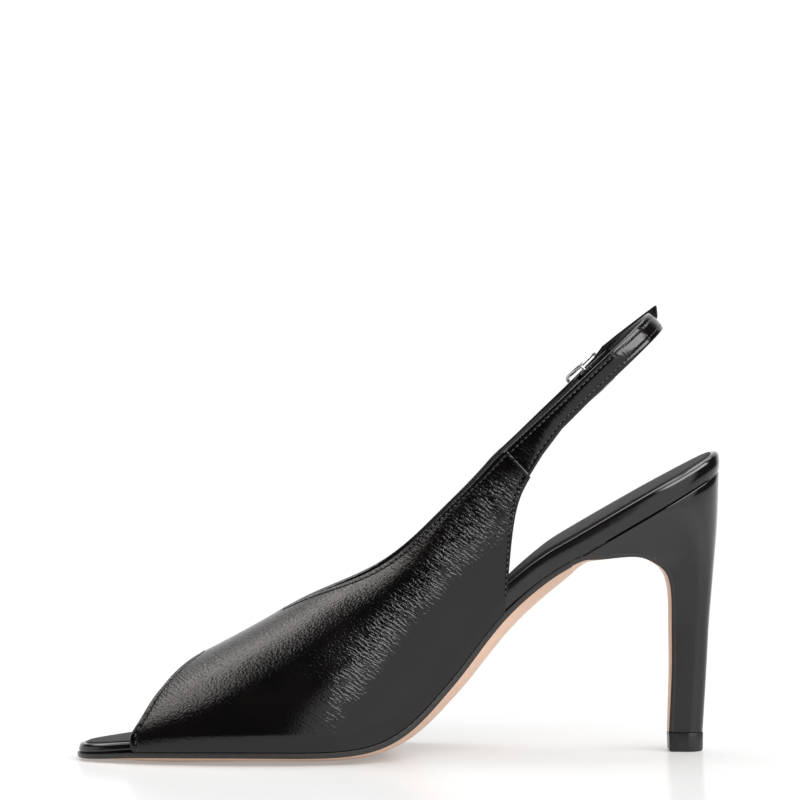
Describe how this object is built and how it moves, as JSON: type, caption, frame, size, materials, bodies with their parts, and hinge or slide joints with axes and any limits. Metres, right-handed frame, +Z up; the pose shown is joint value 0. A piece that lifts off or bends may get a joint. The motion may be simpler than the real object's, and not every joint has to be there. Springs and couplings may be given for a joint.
{
  "type": "peep toe slingback shoe",
  "caption": "Women's high-heeled peep toe slingback in black leather with a deep V throat, slim covered heel, tan leather sole and a buckled sling strap.",
  "frame": {"origin": "middle of the shoe's length and width, on the floor it stands on", "axes": "+X from toe to heel, +Y to the outer (lateral) side of the foot, +Z up"},
  "size_m": [0.232, 0.0786, 0.1618],
  "materials": {
    "upper_leather": "glossy grained black leather",
    "strap_leather": "glossy black leather",
    "footbed_wrap": "smooth glossy black leather",
    "sock_leather": "soft black leather",
    "sole_leather": "tan leather with a black painted edge",
    "heel_cover": "smooth glossy black cover",
    "lift_rubber": "satin black",
    "buckle_metal": "polished silver"
  },
  "bodies": {
    "root": {"outsole": "sole_leather", "footbed": "footbed_wrap", "insole": "sock_leather", "heel": "heel_cover", "heel_lift": "lift_rubber", "upper": "upper_leather", "sling_strap": "strap_leather", "buckle_tab": "strap_leather", "buckle_frame": "buckle_metal", "buckle_pin": "buckle_metal"}
  },
  "joints": []
}
